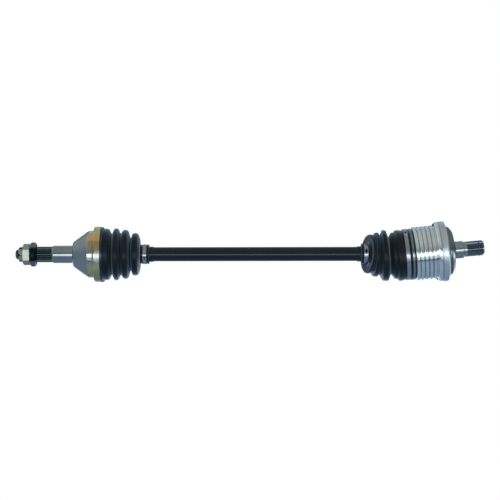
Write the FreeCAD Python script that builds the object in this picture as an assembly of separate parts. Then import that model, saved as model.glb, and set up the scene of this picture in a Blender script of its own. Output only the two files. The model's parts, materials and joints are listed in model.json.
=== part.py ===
import FreeCAD, Part
import math
import os

# Constant-velocity axle of a small off-road vehicle, in millimetres.
# +X runs along the axle from the wheel end to the gearbox end, +Z is up.
# The origin is the middle of the plain bar between the two joints.

V = FreeCAD.Vector
X_AXIS = V(1, 0, 0)
Y_AXIS = V(0, 1, 0)

# ---------------------------------------------------------------- bar
BAR_R = 11.55
BAR_RIDGE_R = 12.5
BAR_SEAT_R = 12.0
SHAFT_SPLINE_R = 11.8
SHAFT_SPLINE_ROOT_R = 10.9
SHAFT_SPLINE_TEETH = 24
SHAFT_OVERHANG = 3.0
SHAFT_SHOULDER = 3.0
CLIP_GROOVE_OFFSET = 1.3
CLIP_GROOVE_WIDTH = 1.7
CLIP_GROOVE_DEPTH = 0.9
BAR_RIDGE_LENGTH = 5.2
BAR_RIDGE_TAPER = 1.4
SEAT_EDGE = 0.4

# ---------------------------------------------------------------- joint internals
OUTER_CENTRE_X = -259.0
INNER_CENTRE_X = 263.2
INNER_TILT_DEG = 5.3
BALL_R = 7.144
BALL_COUNT = 6
WINDOW_CLEARANCE = 0.15
SLIDE_CLEARANCE = 0.25
RACE_BORE_R = 11.9
RACE_HALF_WIDTH = 13.0
RACE_GROOVE_DEG = 50.0
BELL_GROOVE_DEEP_DEG = 38.0
BELL_GROOVE_MOUTH_DEG = 50.0

OUTER_PITCH_R = 26.0
OUTER_CAVITY_R = 28.5
OUTER_CAGE_IN_R = 23.6
OUTER_CAGE_HALF_WIDTH = 10.0
OUTER_GROOVE_CLEARANCE = 1.45

INNER_PITCH_R = 27.0
INNER_BORE_R = 29.55
INNER_CAGE_IN_R = 24.8
INNER_CAGE_HALF_WIDTH = 10.0
INNER_GROOVE_CLEARANCE = 0.55

# ---------------------------------------------------------------- wheel-end stub
STUB_TIP_X = -389.6
STUB_TIP_R = 4.8
PILOT_R = 7.8
PILOT_CHAMFER = 2.0
PILOT_END_X = -385.6
THREAD_R = 10.0
THREAD_PITCH = 1.5
THREAD_DEPTH = 0.8
THREAD_END_X = -355.0
THREAD_RELIEF = 2.4
THREAD_RELIEF_R = 9.0
HUB_SPLINE_R = 12.7
HUB_SPLINE_ROOT_R = 11.6
HUB_SPLINE_TEETH = 26
HUB_SPLINE_END_X = -330.1
HUB_JOURNAL_R = 14.25
HUB_JOURNAL_START_X = -327.6
HUB_JOURNAL_END_X = -296.1
COTTER_HOLE_R = 2.0
COTTER_HOLE_X = -381.6

# ---------------------------------------------------------------- bell
BELL_NECK_R = 18.2
BELL_SHOULDER_X = -294.4
BELL_SHOULDER_R = 20.9
BELL_BAND_START_X = -270.4
BELL_BAND_START_R = 38.2
BELL_BAND_CORNER_R = 8.0
BELL_RIM_START_X = -261.6
BELL_RIM_END_X = -250.0
BELL_MOUTH_X = -246.0
BELL_BAND_R = 38.5
BELL_STEP_R = 40.1
BELL_RIM_R = 45.0
BELL_SEAT_R = 40.8
BELL_LIP_LENGTH = 3.0
BELL_LIP_FLARE = 4.5

# ---------------------------------------------------------------- nut and washer
NUT_ACROSS_FLATS = 30.0
NUT_BORE_R = 10.08
NUT_CROWN_X = -383.9
NUT_CROWN_R = 11.7
NUT_CROWN_BASE_R = 12.3
NUT_HEX_X = -378.6
NUT_FACE_X = -366.4
NUT_FACE_CHAMFER = 0.5
NUT_CHAMFER = 2.4
NUT_SLOT_WIDTH = 4.4
NUT_SLOT_FLOOR_X = -379.9
NUT_TURN_DEG = 4.0
WASHER_START_X = -366.3
WASHER_FLANGE_X = -365.5
WASHER_END_X = -355.8
WASHER_BOSS_R = 14.6
WASHER_R = 19.8
WASHER_CORNER_R = 3.6
WASHER_BORE_R = 10.3

# ---------------------------------------------------------------- gearbox-end housing
# stations measured along the housing's own axis from the joint centre
MOUTH_S = -23.5
SEAT_END_S = -10.2
SEAT_R = 38.0
STOP_LIP_START_R = 41.6
STOP_LIP_R = 42.2
STOP_LIP_END_S = -6.6
LIP_GROOVE_R = 41.2
RIB_CREST_R = 43.8
RIB_ROOT_R = 41.9
RIB_FIRST_S = -1.4
RIB_PITCH = 6.9
RIB_COUNT = 5
RIB_CREST_HALF = 1.9
RIB_CREST_CORNER_R = 1.8
RIB_VALLEY_HALF = 0.4
COLLAR_START_S = 30.4
COLLAR_ROOT_R = 42.3
COLLAR_STEP_S = 31.0
COLLAR_STEP_R = 46.6
COLLAR_FULL_S = 34.2
COLLAR_NOSE_R = 48.5
COLLAR_GROOVE_S = 36.9
COLLAR_GROOVE_WIDTH = 2.2
COLLAR_GROOVE_DEPTH = 1.0
COLLAR_GROOVE_FLANK = 0.5
COLLAR_END_S = 47.4
COLLAR_R = 48.8
COLLAR_FOOT_S = 50.9
COLLAR_FOOT_R = 40.0
CAP_EDGE_S = 54.9
CAP_EDGE_R = 38.7
CAP_DOME_S = 59.7
CAP_DOME_R = 31.8
STUB_ROOT_S = 63.4
STUB_FILLET_R = 16.0
SEAL_JOURNAL_R = 14.0
SEAL_JOURNAL_END_S = 75.8
GEAR_SPLINE_R = 12.3
GEAR_SPLINE_ROOT_R = 11.1
GEAR_SPLINE_TEETH = 24
GEAR_SPLINE_START_S = 82.0
GEAR_END_S = 110.0
GEAR_CHAMFER_LENGTH = 3.0
GEAR_CHAMFER_DEPTH = 2.4
STUB_CLIP_S = 101.4
STUB_CLIP_HALF = 0.9
STUB_CLIP_DEPTH = 1.9
BORE_DEPTH_S = 38.0
BORE_FLOOR_S = 41.0
BORE_FLOOR_R = 20.0
GROOVE_END_S = 30.0
STOP_RING_S = -22.0
STOP_RING_WIDTH = 2.0
STOP_RING_IN_R = 26.8
STOP_RING_OUT_R = 31.4

# ---------------------------------------------------------------- boots and clamps
BOOT_WALL = 2.2
BOOT_GAP = 0.1
OUTER_CUFF_R = 43.6
OUTER_SMALL_CUFF_X = -186.0
OUTER_SMALL_CUFF_END_X = -172.0
OUTER_SMALL_CUFF_R = 15.3
INNER_SMALL_CUFF_X = 172.8
INNER_SMALL_CUFF_END_X = 184.0
INNER_SMALL_CUFF_R = 15.6
INNER_LIP_WIDTH = 3.2
INNER_LIP_R = 16.9
INNER_CUFF_START_S = -24.4
INNER_CUFF_R = 40.4
INNER_EDGE_START_S = -13.3
INNER_EDGE_R = 41.5

# (station, outer radius) of each fold crest and valley, from bell to bar
OUTER_FOLDS = [
    (-245.3, 41.7),
    (-238.8, 41.7),
    (-233.1, 31.5),
    (-225.8, 42.2),
    (-218.4, 31.0),
    (-211.1, 39.6),
    (-202.1, 26.5),
    (-194.8, 34.2),
    (-188.2, 18.5),
]

# the same for the gearbox end, from bar to housing, and how far its first fold leans out of square
FOLD_PITCH_DEG = 4.5
INNER_FOLDS = [
    (184.8, 19.0),
    (185.6, 32.0),
    (190.6, 27.0),
    (196.4, 35.9),
    (203.0, 29.0),
    (211.2, 41.4),
    (220.0, 28.5),
    (228.0, 36.5),
    (234.5, 41.2),
]
STRAIGHT_FOLD = 5
FLANK_FOOT_R = 13.5
FLANK_TOP_R = 29.0
FLANK_LEAN = 0.6

# clamps: where the band starts, its width and thickness, the ear's angle from the top and its height
CLAMP_GAP = 0.05
RIM_CLAMP_THICKNESS = 1.0
OUTER_SMALL_CLAMP = (-182.4, 6.2, 0.6, 110.0, 2.4)
INNER_SMALL_CLAMP = (177.4, 5.6, 0.7, 70.0, 2.4)
INNER_LARGE_CLAMP = (-20.2, 6.4, 1.0, 36.0, 3.4)


def outline(points):
    """Closed wire in the XZ plane. A point is (x, r) or (x, r, corner radius)."""
    corners = [V(p[0], 0, p[1]) for p in points]
    radii = [p[2] if len(p) > 2 else 0.0 for p in points]
    count = len(corners)
    starts = []
    ends = []
    mids = []
    for i in range(count):
        here = corners[i]
        before = (corners[i - 1] - here).normalize()
        after = (corners[(i + 1) % count] - here).normalize()
        if radii[i] == 0.0:
            starts.append(here)
            ends.append(here)
            mids.append(None)
            continue
        half = before.getAngle(after) / 2
        reach = radii[i] / math.tan(half)
        bisector = (before + after).normalize()
        mids.append(here + bisector * (radii[i] / math.sin(half) - radii[i]))
        starts.append(here + before * reach)
        ends.append(here + after * reach)
    edges = []
    for i in range(count):
        if mids[i] is not None:
            edges.append(Part.Arc(starts[i], mids[i], ends[i]).toShape())
        following = starts[(i + 1) % count]
        if ends[i].distanceToPoint(following) > 1e-6:
            edges.append(Part.LineSegment(ends[i], following).toShape())
    return Part.Wire(edges)


def turned(points):
    """Solid of revolution about the X axis."""
    face = Part.Face(outline(points))
    return face.revolve(V(0, 0, 0), X_AXIS, 360)


def tube(x_start, x_end, outer_r, inner_r, corner=0.0):
    """Plain ring with its outer corners rounded."""
    return turned(
        [(x_start, inner_r), (x_start, outer_r, corner), (x_end, outer_r, corner), (x_end, inner_r)]
    )


def rod(x_start, x_end, radius):
    return Part.makeCylinder(radius, x_end - x_start, V(x_start, 0, 0), X_AXIS)


def shift(shape, distance):
    moved = shape.copy()
    moved.translate(V(distance, 0, 0))
    return moved


def around_x(shape, angle_deg, centre=V(0, 0, 0)):
    turned_copy = shape.copy()
    turned_copy.rotate(centre, X_AXIS, angle_deg)
    return turned_copy


def tilt_up(shape, angle_deg):
    """Tilts a gearbox-end piece up about that joint's centre."""
    tilted = shape.copy()
    tilted.rotate(V(INNER_CENTRE_X, 0, 0), Y_AXIS, -angle_deg)
    return tilted


def splined(body, x_start, x_end, outer_r, root_r, teeth):
    """Cuts evenly spaced V-shaped spline grooves along a round body."""
    half = math.pi * outer_r / teeth * 0.62
    lift = 0.4
    widen = half * (outer_r + lift - root_r) / (outer_r - root_r)
    points = [V(x_start, 0, root_r), V(x_start, widen, outer_r + lift), V(x_start, -widen, outer_r + lift)]
    face = Part.Face(Part.makePolygon(points + points[:1]))
    groove = face.extrude(V(x_end - x_start, 0, 0))
    return body.cut([around_x(groove, 360.0 * i / teeth) for i in range(teeth)])


def export(name, shape):
    os.makedirs("parts", exist_ok=True)
    shape.exportStep(os.path.join("parts", name + ".step"))


# ================================================================ balls, races and cages
def ball_place(pitch_r, index):
    angle = 2 * math.pi * index / BALL_COUNT
    return V(0, pitch_r * math.sin(angle), pitch_r * math.cos(angle))


def ball(pitch_r, index):
    return Part.makeSphere(BALL_R, ball_place(pitch_r, index))


def curved_grooves(pitch_r, groove_r, left_deg, right_deg):
    """Ball grooves that run along circles about the joint centre."""
    section = Part.Face(Part.Wire(Part.makeCircle(groove_r, V(0, 0, pitch_r), X_AXIS)))
    section.rotate(V(0, 0, 0), Y_AXIS, right_deg)
    groove = section.revolve(V(0, 0, 0), V(0, -1, 0), left_deg + right_deg)
    return [around_x(groove, 360.0 * i / BALL_COUNT) for i in range(BALL_COUNT)]


def inner_race(sphere_r, pitch_r, groove_r):
    race = Part.makeSphere(sphere_r).common(rod(-RACE_HALF_WIDTH, RACE_HALF_WIDTH, sphere_r))
    race = race.cut(rod(-RACE_HALF_WIDTH - 1, RACE_HALF_WIDTH + 1, RACE_BORE_R))
    return race.cut(curved_grooves(pitch_r, groove_r, RACE_GROOVE_DEG, RACE_GROOVE_DEG))


def cage(outer_r, inner_r, half_width, pitch_r):
    """Spherical ring with a window round each ball."""
    ring = Part.makeSphere(outer_r).common(rod(-half_width, half_width, outer_r))
    ring = ring.cut(Part.makeSphere(inner_r))
    windows = []
    for index in range(BALL_COUNT):
        out = ball_place(1.0, index)
        windows.append(Part.makeCylinder(BALL_R + WINDOW_CLEARANCE, outer_r, out * (pitch_r / 2), out))
    return ring.cut(windows)


def race_clip(x_start):
    """Open wire ring that keeps a race on the shaft's splined end."""
    ring = tube(x_start, x_start + 1.6, RACE_BORE_R + 1.0, SHAFT_SPLINE_R - 0.75)
    gap = Part.makeBox(4, 8, 10, V(x_start - 1, -4, -20))
    return ring.cut(gap)


def balls_of(pitch_r):
    top = ball(pitch_r, 0)
    bottom = ball(pitch_r, BALL_COUNT // 2)
    sides = [ball(pitch_r, i) for i in range(BALL_COUNT) if i not in (0, BALL_COUNT // 2)]
    return top, bottom, Part.makeCompound(sides)


def export_outer_joint():
    x = OUTER_CENTRE_X
    groove_r = BALL_R + OUTER_GROOVE_CLEARANCE
    race_r = OUTER_CAGE_IN_R - SLIDE_CLEARANCE
    cage_r = OUTER_CAVITY_R - SLIDE_CLEARANCE
    top, bottom, sides = balls_of(OUTER_PITCH_R)
    export("outer_inner_race", shift(inner_race(race_r, OUTER_PITCH_R, groove_r), x))
    cage_ring = cage(cage_r, OUTER_CAGE_IN_R, OUTER_CAGE_HALF_WIDTH, OUTER_PITCH_R)
    export("outer_cage", shift(cage_ring, x))
    export("outer_ball_top", shift(top, x))
    export("outer_ball_bottom", shift(bottom, x))
    export("outer_side_balls", shift(sides, x))
    export("outer_race_clip", race_clip(x - RACE_HALF_WIDTH - 1.7))


def export_inner_joint():
    x = INNER_CENTRE_X
    half_tilt = INNER_TILT_DEG / 2
    groove_r = BALL_R + INNER_GROOVE_CLEARANCE
    race_r = INNER_CAGE_IN_R - SLIDE_CLEARANCE
    cage_r = INNER_BORE_R - SLIDE_CLEARANCE
    top, bottom, sides = balls_of(INNER_PITCH_R)
    export("inner_inner_race", shift(inner_race(race_r, INNER_PITCH_R, groove_r), x))
    cage_ring = cage(cage_r, INNER_CAGE_IN_R, INNER_CAGE_HALF_WIDTH, INNER_PITCH_R)
    export("inner_cage", tilt_up(shift(cage_ring, x), half_tilt))
    export("inner_ball_top", tilt_up(shift(top, x), half_tilt))
    export("inner_ball_bottom", tilt_up(shift(bottom, x), half_tilt))
    export("inner_side_balls", tilt_up(shift(sides, x), half_tilt))
    export("inner_race_clip", race_clip(x + RACE_HALF_WIDTH + 0.1))


# ================================================================ shaft
def drive_shaft():
    left_end = OUTER_CENTRE_X - RACE_HALF_WIDTH - SHAFT_OVERHANG
    right_end = INNER_CENTRE_X + RACE_HALF_WIDTH + SHAFT_OVERHANG
    outer_shoulder = OUTER_CENTRE_X + RACE_HALF_WIDTH
    inner_shoulder = INNER_CENTRE_X - RACE_HALF_WIDTH
    clip_l = left_end + CLIP_GROOVE_OFFSET
    clip_r = right_end - CLIP_GROOVE_OFFSET
    clip_floor = SHAFT_SPLINE_R - CLIP_GROOVE_DEPTH
    ridge_l = OUTER_SMALL_CUFF_END_X + 2 * SEAT_EDGE
    ridge_r = INNER_SMALL_CUFF_X - 2 * SEAT_EDGE
    shaft = turned(
        [
            (left_end, 0),
            (left_end, SHAFT_SPLINE_R - 1),
            (left_end + 1, SHAFT_SPLINE_R),
            (clip_l, SHAFT_SPLINE_R),
            (clip_l, clip_floor),
            (clip_l + CLIP_GROOVE_WIDTH, clip_floor),
            (clip_l + CLIP_GROOVE_WIDTH, SHAFT_SPLINE_R),
            (outer_shoulder, SHAFT_SPLINE_R),
            (outer_shoulder, BAR_RIDGE_R, 0.4),
            (outer_shoulder + SHAFT_SHOULDER, BAR_RIDGE_R, 0.4),
            (outer_shoulder + SHAFT_SHOULDER + 2, BAR_R, 2.0),
            (OUTER_SMALL_CUFF_X - 2, BAR_R, 0.4),
            (OUTER_SMALL_CUFF_X - 1, BAR_SEAT_R),
            (OUTER_SMALL_CUFF_END_X + SEAT_EDGE, BAR_SEAT_R),
            (ridge_l, BAR_RIDGE_R, 0.4),
            (ridge_l + BAR_RIDGE_LENGTH, BAR_RIDGE_R, 0.5),
            (ridge_l + BAR_RIDGE_LENGTH + BAR_RIDGE_TAPER, BAR_R, 2.0),
            (ridge_r - BAR_RIDGE_LENGTH - BAR_RIDGE_TAPER, BAR_R, 2.0),
            (ridge_r - BAR_RIDGE_LENGTH, BAR_RIDGE_R, 0.5),
            (ridge_r, BAR_RIDGE_R, 0.4),
            (INNER_SMALL_CUFF_X - SEAT_EDGE, BAR_SEAT_R),
            (INNER_SMALL_CUFF_END_X + 1, BAR_SEAT_R),
            (INNER_SMALL_CUFF_END_X + 2, BAR_R, 0.4),
            (inner_shoulder - SHAFT_SHOULDER - 2, BAR_R, 2.0),
            (inner_shoulder - SHAFT_SHOULDER, BAR_RIDGE_R, 0.4),
            (inner_shoulder, BAR_RIDGE_R, 0.4),
            (inner_shoulder, SHAFT_SPLINE_R),
            (clip_r - CLIP_GROOVE_WIDTH, SHAFT_SPLINE_R),
            (clip_r - CLIP_GROOVE_WIDTH, clip_floor),
            (clip_r, clip_floor),
            (clip_r, SHAFT_SPLINE_R),
            (right_end - 1, SHAFT_SPLINE_R),
            (right_end, SHAFT_SPLINE_R - 1),
            (right_end, 0),
        ]
    )
    root = SHAFT_SPLINE_ROOT_R
    shaft = splined(shaft, left_end - 1, outer_shoulder - 0.5, SHAFT_SPLINE_R, root, SHAFT_SPLINE_TEETH)
    return splined(shaft, inner_shoulder + 0.5, right_end + 1, SHAFT_SPLINE_R, root, SHAFT_SPLINE_TEETH)


# ================================================================ wheel-end housing
def thread_outline(x_start, x_end):
    """Points of a screw thread's outline, as rings one pitch apart."""
    points = []
    count = int((x_end - x_start) / THREAD_PITCH)
    for i in range(count):
        x = x_start + i * THREAD_PITCH
        points.append((x + THREAD_PITCH / 6, THREAD_R))
        points.append((x + THREAD_PITCH / 2, THREAD_R - THREAD_DEPTH))
        points.append((x + THREAD_PITCH * 5 / 6, THREAD_R))
    return points


def bell_cavity():
    """Spherical seat of the cage, flared towards the mouth so that the bar can swing."""
    flare_x = BELL_MOUTH_X - BELL_LIP_LENGTH
    end_x = BELL_MOUTH_X + 1.0
    flare_r = math.sqrt(OUTER_CAVITY_R ** 2 - (flare_x - OUTER_CENTRE_X) ** 2)
    pole = V(OUTER_CENTRE_X - OUTER_CAVITY_R, 0, 0)
    lip = V(flare_x, 0, flare_r)
    rim = V(end_x, 0, flare_r + BELL_LIP_FLARE)
    centre = V(end_x, 0, 0)
    edges = [
        Part.Arc(pole, V(OUTER_CENTRE_X, 0, OUTER_CAVITY_R), lip).toShape(),
        Part.LineSegment(lip, rim).toShape(),
        Part.LineSegment(rim, centre).toShape(),
        Part.LineSegment(centre, pole).toShape(),
    ]
    return Part.Face(Part.Wire(edges)).revolve(V(0, 0, 0), X_AXIS, 360)


def outer_housing():
    profile = [
        (STUB_TIP_X, 0),
        (STUB_TIP_X, STUB_TIP_R),
        (STUB_TIP_X + PILOT_CHAMFER, PILOT_R, 0.8),
        (PILOT_END_X, PILOT_R),
        (PILOT_END_X + 1, THREAD_R - THREAD_DEPTH),
    ]
    profile += thread_outline(PILOT_END_X + 1, THREAD_END_X - THREAD_RELIEF)
    profile += [
        (THREAD_END_X - THREAD_RELIEF, THREAD_RELIEF_R),
        (THREAD_END_X, THREAD_RELIEF_R),
        (THREAD_END_X, HUB_SPLINE_R - 1.2),
        (THREAD_END_X + 1.2, HUB_SPLINE_R),
        (HUB_SPLINE_END_X, HUB_SPLINE_R),
        (HUB_JOURNAL_START_X, HUB_JOURNAL_R),
        (HUB_JOURNAL_END_X - 0.2, HUB_JOURNAL_R),
        (HUB_JOURNAL_END_X, BELL_NECK_R),
        (BELL_SHOULDER_X, BELL_SHOULDER_R, 2.0),
        (BELL_BAND_START_X, BELL_BAND_START_R, BELL_BAND_CORNER_R),
        (BELL_RIM_START_X - 0.8, BELL_BAND_R, 0.8),
        (BELL_RIM_START_X, BELL_STEP_R, 0.8),
        (BELL_RIM_START_X + 0.6, BELL_RIM_R, 3.0),
        (BELL_RIM_END_X, BELL_RIM_R, 0.5),
        (BELL_RIM_END_X, BELL_SEAT_R),
        (BELL_MOUTH_X, BELL_SEAT_R, 0.6),
        (BELL_MOUTH_X, 0),
    ]
    housing = turned(profile).cut(bell_cavity())
    groove_r = BALL_R + OUTER_GROOVE_CLEARANCE
    grooves = curved_grooves(OUTER_PITCH_R, groove_r, BELL_GROOVE_DEEP_DEG, BELL_GROOVE_MOUTH_DEG)
    housing = housing.cut([shift(groove, OUTER_CENTRE_X) for groove in grooves])
    housing = splined(
        housing, THREAD_END_X - 0.2, HUB_SPLINE_END_X, HUB_SPLINE_R, HUB_SPLINE_ROOT_R, HUB_SPLINE_TEETH
    )
    cotter_hole = Part.makeCylinder(COTTER_HOLE_R, 4 * THREAD_R, V(COTTER_HOLE_X, -2 * THREAD_R, 0), Y_AXIS)
    return housing.cut(around_x(cotter_hole, NUT_TURN_DEG))


def axle_nut():
    """Castle nut with one flat to each side and a slot over each flat."""
    corner_r = NUT_ACROSS_FLATS / math.sqrt(3)
    points = [
        V(NUT_HEX_X - 3, corner_r * math.sin(math.radians(60 * i)), corner_r * math.cos(math.radians(60 * i)))
        for i in range(6)
    ]
    hexagon = Part.Face(Part.makePolygon(points + points[:1])).extrude(V(NUT_FACE_X - NUT_HEX_X + 3, 0, 0))
    envelope = turned(
        [
            (NUT_CROWN_X, NUT_BORE_R),
            (NUT_CROWN_X, NUT_CROWN_R, 0.6),
            (NUT_HEX_X, NUT_CROWN_BASE_R, 0.6),
            (NUT_HEX_X + NUT_CHAMFER, corner_r + 0.1),
            (NUT_FACE_X - NUT_FACE_CHAMFER, corner_r + 0.1),
            (NUT_FACE_X, corner_r - NUT_FACE_CHAMFER),
            (NUT_FACE_X, NUT_BORE_R + 0.6),
            (NUT_FACE_X - 0.6, NUT_BORE_R),
        ]
    )
    crown = rod(NUT_CROWN_X, NUT_HEX_X, NUT_CROWN_R + 1).cut(rod(NUT_CROWN_X - 1, NUT_HEX_X + 1, 9.0))
    nut = envelope.common(hexagon.fuse(crown))
    slot = Part.makeBox(7, 40, NUT_SLOT_WIDTH, V(NUT_SLOT_FLOOR_X - 7, -20, -NUT_SLOT_WIDTH / 2))
    slot = slot.fuse(Part.makeCylinder(NUT_SLOT_WIDTH / 2, 40, V(NUT_SLOT_FLOOR_X, -20, 0), Y_AXIS))
    nut = nut.cut([around_x(slot, 60 * i) for i in range(3)])
    return around_x(nut, NUT_TURN_DEG)


def axle_washer():
    """Thick washer with a rounded rim and a small boss towards the nut."""
    return turned(
        [
            (WASHER_START_X, WASHER_BORE_R),
            (WASHER_START_X, WASHER_BOSS_R, 0.3),
            (WASHER_FLANGE_X, WASHER_BOSS_R, 0.3),
            (WASHER_FLANGE_X, WASHER_R, WASHER_CORNER_R),
            (WASHER_END_X, WASHER_R, WASHER_CORNER_R),
            (WASHER_END_X, WASHER_BORE_R),
        ]
    )


# ================================================================ gearbox-end housing
def inner_housing():
    profile = [
        (MOUTH_S, 0),
        (MOUTH_S, SEAT_R, 0.8),
        (SEAT_END_S, SEAT_R),
        (SEAT_END_S, STOP_LIP_START_R, 0.8),
        (STOP_LIP_END_S, STOP_LIP_R, 0.9),
        (STOP_LIP_END_S, LIP_GROOVE_R),
        (RIB_FIRST_S - RIB_PITCH / 2, LIP_GROOVE_R),
    ]
    rib_half = RIB_PITCH / 2 - RIB_VALLEY_HALF
    for i in range(RIB_COUNT):
        crest = RIB_FIRST_S + i * RIB_PITCH
        profile.append((crest - rib_half, RIB_ROOT_R, 0.5))
        profile.append((crest - RIB_CREST_HALF, RIB_CREST_R, RIB_CREST_CORNER_R))
        profile.append((crest + RIB_CREST_HALF, RIB_CREST_R, RIB_CREST_CORNER_R))
        profile.append((crest + rib_half, RIB_ROOT_R, 0.5))
    groove_end = COLLAR_GROOVE_S + COLLAR_GROOVE_WIDTH
    profile += [
        (COLLAR_START_S, COLLAR_ROOT_R),
        (COLLAR_STEP_S, COLLAR_STEP_R, 1.0),
        (COLLAR_FULL_S, COLLAR_NOSE_R, 2.2),
        (COLLAR_GROOVE_S, COLLAR_NOSE_R, 0.4),
        (COLLAR_GROOVE_S + COLLAR_GROOVE_FLANK, COLLAR_R - COLLAR_GROOVE_DEPTH, 0.2),
        (groove_end - COLLAR_GROOVE_FLANK, COLLAR_R - COLLAR_GROOVE_DEPTH, 0.2),
        (groove_end, COLLAR_R, 0.5),
        (COLLAR_END_S, COLLAR_R, 1.5),
        (COLLAR_FOOT_S, COLLAR_FOOT_R, 0.8),
        (CAP_EDGE_S, CAP_EDGE_R, 3.0),
        (CAP_DOME_S, CAP_DOME_R, 6.0),
        (STUB_ROOT_S - 1.5, STUB_FILLET_R, 1.2),
        (STUB_ROOT_S, SEAL_JOURNAL_R),
        (SEAL_JOURNAL_END_S, SEAL_JOURNAL_R),
        (SEAL_JOURNAL_END_S + 1.3, GEAR_SPLINE_R),
        (STUB_CLIP_S - STUB_CLIP_HALF, GEAR_SPLINE_R),
        (STUB_CLIP_S - STUB_CLIP_HALF, GEAR_SPLINE_R - STUB_CLIP_DEPTH),
        (STUB_CLIP_S + STUB_CLIP_HALF, GEAR_SPLINE_R - STUB_CLIP_DEPTH),
        (STUB_CLIP_S + STUB_CLIP_HALF, GEAR_SPLINE_R),
        (GEAR_END_S - GEAR_CHAMFER_LENGTH, GEAR_SPLINE_R),
        (GEAR_END_S, GEAR_SPLINE_R - GEAR_CHAMFER_DEPTH),
        (GEAR_END_S, 0),
    ]
    housing = turned(profile)
    bore = turned(
        [
            (MOUTH_S - 1, 0),
            (MOUTH_S - 1, INNER_BORE_R),
            (BORE_DEPTH_S, INNER_BORE_R, 2.0),
            (BORE_FLOOR_S, BORE_FLOOR_R),
            (BORE_FLOOR_S, 0),
        ]
    )
    ring_slot = tube(
        STOP_RING_S, STOP_RING_S + STOP_RING_WIDTH, STOP_RING_OUT_R + BOOT_GAP, INNER_BORE_R - 1
    )
    groove_r = BALL_R + INNER_GROOVE_CLEARANCE
    grooves = []
    for index in range(BALL_COUNT):
        place = ball_place(INNER_PITCH_R, index)
        start = V(MOUTH_S - 1, place.y, place.z)
        grooves.append(Part.makeCylinder(groove_r, GROOVE_END_S - MOUTH_S + 1, start, X_AXIS))
        grooves.append(Part.makeSphere(groove_r, V(GROOVE_END_S, place.y, place.z)))
    housing = housing.cut([bore, ring_slot] + grooves)
    housing = splined(
        housing, GEAR_SPLINE_START_S, GEAR_END_S + 1, GEAR_SPLINE_R, GEAR_SPLINE_ROOT_R, GEAR_SPLINE_TEETH
    )
    centre_drill = Part.makeCone(0.2, 3.2, 5.0, V(GEAR_END_S - 4.5, 0, 0), X_AXIS)
    return tilt_up(shift(housing.cut(centre_drill), INNER_CENTRE_X), INNER_TILT_DEG)


def stop_ring():
    ring = tube(STOP_RING_S + 0.1, STOP_RING_S + STOP_RING_WIDTH - 0.1, STOP_RING_OUT_R, STOP_RING_IN_R)
    gap = Part.makeBox(10, 6, 20, V(STOP_RING_S - 4, -3, -40))
    return tilt_up(shift(ring.cut(gap), INNER_CENTRE_X), INNER_TILT_DEG)


def stub_clip():
    """Spring wire ring in the gearbox spline, sitting low so that it stands out underneath."""
    ring = Part.makeTorus(GEAR_SPLINE_R - 0.45, 0.8, V(STUB_CLIP_S, 0, -0.35), X_AXIS)
    gap = Part.makeBox(6, 7, 12, V(STUB_CLIP_S - 3, -3.5, 6))
    return tilt_up(shift(ring.cut(gap), INNER_CENTRE_X), INNER_TILT_DEG)


# ================================================================ boots
def outer_boot():
    seat_r = BELL_SEAT_R + BOOT_GAP
    outside = [(BELL_RIM_END_X + 0.2, OUTER_CUFF_R, 0.4), (BELL_MOUTH_X - 0.2, OUTER_CUFF_R, 0.4)]
    outside += OUTER_FOLDS
    outside += [(OUTER_SMALL_CUFF_X, OUTER_SMALL_CUFF_R), (OUTER_SMALL_CUFF_END_X, OUTER_SMALL_CUFF_R, 0.5)]
    inside = [(OUTER_SMALL_CUFF_END_X, BAR_SEAT_R + BOOT_GAP), (OUTER_SMALL_CUFF_X, BAR_SEAT_R + BOOT_GAP)]
    inside += [(x, r - BOOT_WALL) for x, r in reversed(OUTER_FOLDS)]
    inside += [(BELL_MOUTH_X + 0.3, seat_r), (BELL_RIM_END_X + 0.2, seat_r)]
    return turned(outside + inside)


def share_along(x, start, end):
    return min(max((x - start) / (end - start), 0.0), 1.0)


def ring_wire(x, radius):
    """Ring of the bent boot. Slack rubber lets the folds next to the bar lean out of square."""
    toward_housing = share_along(x, INNER_FOLDS[1][0], INNER_CENTRE_X + SEAT_END_S)
    pitch = math.radians(FOLD_PITCH_DEG - toward_housing * (FOLD_PITCH_DEG + INNER_TILT_DEG))
    drop = (INNER_CENTRE_X - x) * math.tan(math.radians(INNER_TILT_DEG))
    drop *= share_along(x, INNER_SMALL_CUFF_END_X, INNER_FOLDS[STRAIGHT_FOLD][0])
    normal = V(math.cos(pitch), 0, -math.sin(pitch))
    return Part.Wire(Part.makeCircle(radius, V(x, 0, -drop), normal))


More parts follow.
